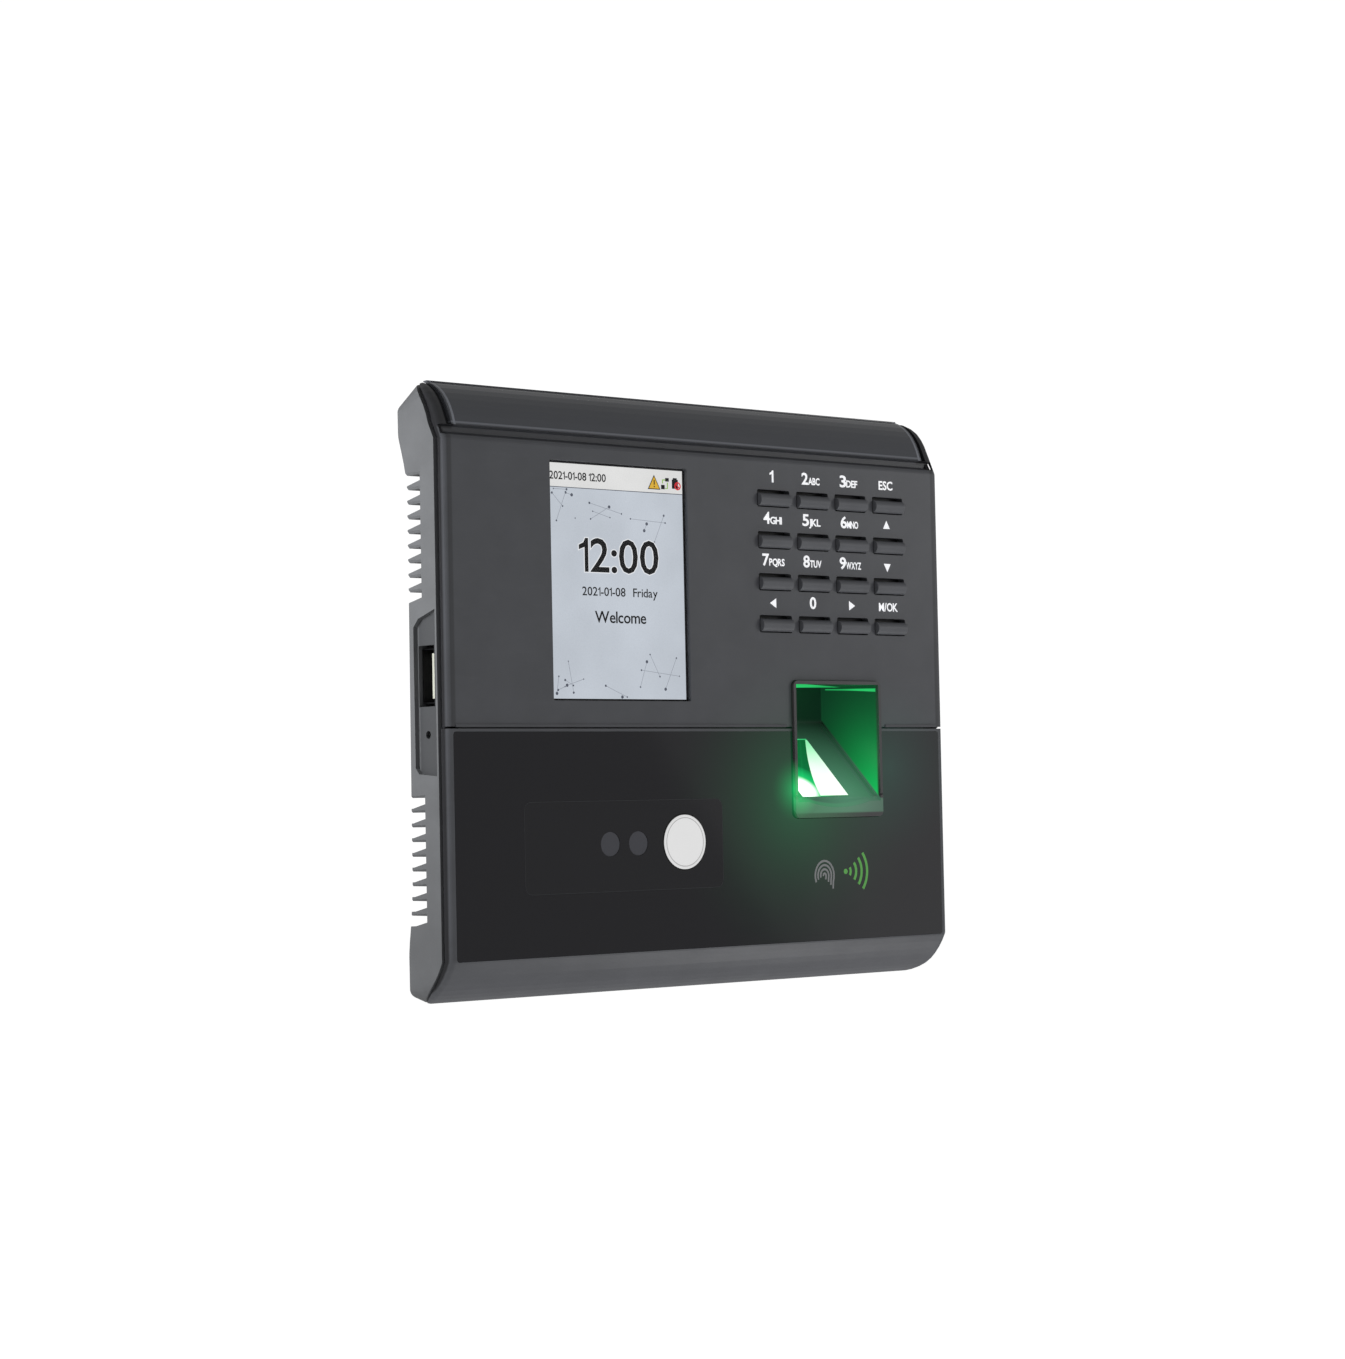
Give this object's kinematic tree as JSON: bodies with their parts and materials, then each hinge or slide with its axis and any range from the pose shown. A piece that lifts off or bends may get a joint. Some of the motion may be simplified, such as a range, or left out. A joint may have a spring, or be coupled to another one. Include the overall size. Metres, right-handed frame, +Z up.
{
  "type": "fingerprint scanner terminal",
  "caption": "Wall-mounted access and time terminal with a colour display, a keypad, a recessed fingerprint scanner, a camera window and a fill light.",
  "frame": {"origin": "on the wall plane, at the centre of the wall plate's rectangle of wall holes", "axes": "+X to the right as seen from the front, +Y into the wall, +Z up"},
  "size_m": [0.1674, 0.0328, 0.1492],
  "materials": {
    "front_plastic": "fine satin moulded texture",
    "rear_plastic": "fine satin moulded texture",
    "visor_gloss": "polished",
    "panel_gloss": "polished",
    "smoked_acrylic": "polished smoked acrylic",
    "lens_glass": "polished",
    "seal_rubber": "dull",
    "light_diffuser": "satin diffuser",
    "window_glass": "clear",
    "display_face": "lit colour display",
    "bezel_plastic": "satin",
    "platen_glass": "polished, lit green from inside",
    "black_plastic": "matte",
    "circuit_board": "solder mask",
    "led_epoxy": "clear epoxy",
    "key_plastic": "satin",
    "zinc_steel": "zinc plated",
    "black_screw": "black oxide",
    "brass": "turned",
    "ivory_plastic": "moulded",
    "white_plastic": "moulded",
    "green_plastic": "moulded",
    "battery_wrap": "shrink wrap",
    "ribbon_film": "polyester film"
  },
  "bodies": {
    "wall_plate": {"wall_plate": "zinc_steel"},
    "terminal": {"rear_cover": "rear_plastic", "upper_front_cover": "front_plastic", "lower_front_cover": "front_plastic", "housing_seal": "seal_rubber", "visor": "visor_gloss", "gloss_panel": "panel_gloss", "smoked_window": "smoked_acrylic", "light_lens": "light_diffuser", "light_board": "circuit_board", "lens_covers": "lens_glass", "camera_module": "black_plastic", "camera_board": "circuit_board", "infrared_leds": "led_epoxy", "display_window": "window_glass", "display_gasket": "seal_rubber", "display_module": "display_face", "scanner_bezel": "bezel_plastic", "scanner_prism": "platen_glass", "scanner_chamber": "black_plastic", "scanner_board": "circuit_board", "scanner_leds": "led_epoxy", "main_board": "circuit_board", "board_chips": "black_plastic", "keypad_board": "circuit_board", "key_domes": "zinc_steel", "usb_shell": "zinc_steel", "usb_tongue": "ivory_plastic", "ethernet_jack": "zinc_steel", "power_jack": "black_plastic", "terminal_block": "green_plastic", "reset_switch": "black_plastic", "tamper_switch": "black_plastic", "speaker": "black_plastic", "battery": "battery_wrap", "coin_cell": "zinc_steel", "housing_screws": "zinc_steel", "board_screws": "zinc_steel", "ribbon_cables": "ribbon_film", "screw_insert": "brass"},
    "security_screw": {"security_screw": "black_screw"},
    "reset_button": {"reset_button": "white_plastic"},
    "tamper_plunger": {"tamper_plunger": "white_plastic"},
    "key_1": {"key_1": "key_plastic"},
    "key_2": {"key_2": "key_plastic"},
    "key_3": {"key_3": "key_plastic"},
    "key_esc": {"key_esc": "key_plastic"},
    "key_4": {"key_4": "key_plastic"},
    "key_5": {"key_5": "key_plastic"},
    "key_6": {"key_6": "key_plastic"},
    "key_up": {"key_up": "key_plastic"},
    "key_7": {"key_7": "key_plastic"},
    "key_8": {"key_8": "key_plastic"},
    "key_9": {"key_9": "key_plastic"},
    "key_down": {"key_down": "key_plastic"},
    "key_left": {"key_left": "key_plastic"},
    "key_0": {"key_0": "key_plastic"},
    "key_right": {"key_right": "key_plastic"},
    "key_menu": {"key_menu": "key_plastic"}
  },
  "joints": [
    {"name": "terminal_lift", "type": "slide", "parent": "wall_plate", "child": "terminal", "axis": [0, 0, 1], "range_m": [0, 0.006]},
    {"name": "security_screw_out", "type": "slide", "parent": "wall_plate", "child": "security_screw", "axis": [0, 0, -1], "range_m": [0, 0.01]},
    {"name": "reset_press", "type": "slide", "parent": "terminal", "child": "reset_button", "axis": [1, 0, 0], "range_m": [0, 0.0003], "stiffness_N_per_m": 2000},
    {"name": "tamper_press", "type": "slide", "parent": "terminal", "child": "tamper_plunger", "axis": [0, -1, 0], "range_m": [0, 0.0008], "stiffness_N_per_m": 300},
    {"name": "key_1_press", "type": "slide", "parent": "terminal", "child": "key_1", "axis": [0, 1, 0], "range_m": [0, 0.0006], "stiffness_N_per_m": 1500},
    {"name": "key_2_press", "type": "slide", "parent": "terminal", "child": "key_2", "axis": [0, 1, 0], "range_m": [0, 0.0006], "stiffness_N_per_m": 1500},
    {"name": "key_3_press", "type": "slide", "parent": "terminal", "child": "key_3", "axis": [0, 1, 0], "range_m": [0, 0.0006], "stiffness_N_per_m": 1500},
    {"name": "key_esc_press", "type": "slide", "parent": "terminal", "child": "key_esc", "axis": [0, 1, 0], "range_m": [0, 0.0006], "stiffness_N_per_m": 1500},
    {"name": "key_4_press", "type": "slide", "parent": "terminal", "child": "key_4", "axis": [0, 1, 0], "range_m": [0, 0.0006], "stiffness_N_per_m": 1500},
    {"name": "key_5_press", "type": "slide", "parent": "terminal", "child": "key_5", "axis": [0, 1, 0], "range_m": [0, 0.0006], "stiffness_N_per_m": 1500},
    {"name": "key_6_press", "type": "slide", "parent": "terminal", "child": "key_6", "axis": [0, 1, 0], "range_m": [0, 0.0006], "stiffness_N_per_m": 1500},
    {"name": "key_up_press", "type": "slide", "parent": "terminal", "child": "key_up", "axis": [0, 1, 0], "range_m": [0, 0.0006], "stiffness_N_per_m": 1500},
    {"name": "key_7_press", "type": "slide", "parent": "terminal", "child": "key_7", "axis": [0, 1, 0], "range_m": [0, 0.0006], "stiffness_N_per_m": 1500},
    {"name": "key_8_press", "type": "slide", "parent": "terminal", "child": "key_8", "axis": [0, 1, 0], "range_m": [0, 0.0006], "stiffness_N_per_m": 1500},
    {"name": "key_9_press", "type": "slide", "parent": "terminal", "child": "key_9", "axis": [0, 1, 0], "range_m": [0, 0.0006], "stiffness_N_per_m": 1500},
    {"name": "key_down_press", "type": "slide", "parent": "terminal", "child": "key_down", "axis": [0, 1, 0], "range_m": [0, 0.0006], "stiffness_N_per_m": 1500},
    {"name": "key_left_press", "type": "slide", "parent": "terminal", "child": "key_left", "axis": [0, 1, 0], "range_m": [0, 0.0006], "stiffness_N_per_m": 1500},
    {"name": "key_0_press", "type": "slide", "parent": "terminal", "child": "key_0", "axis": [0, 1, 0], "range_m": [0, 0.0006], "stiffness_N_per_m": 1500},
    {"name": "key_right_press", "type": "slide", "parent": "terminal", "child": "key_right", "axis": [0, 1, 0], "range_m": [0, 0.0006], "stiffness_N_per_m": 1500},
    {"name": "key_menu_press", "type": "slide", "parent": "terminal", "child": "key_menu", "axis": [0, 1, 0], "range_m": [0, 0.0006], "stiffness_N_per_m": 1500}
  ]
}
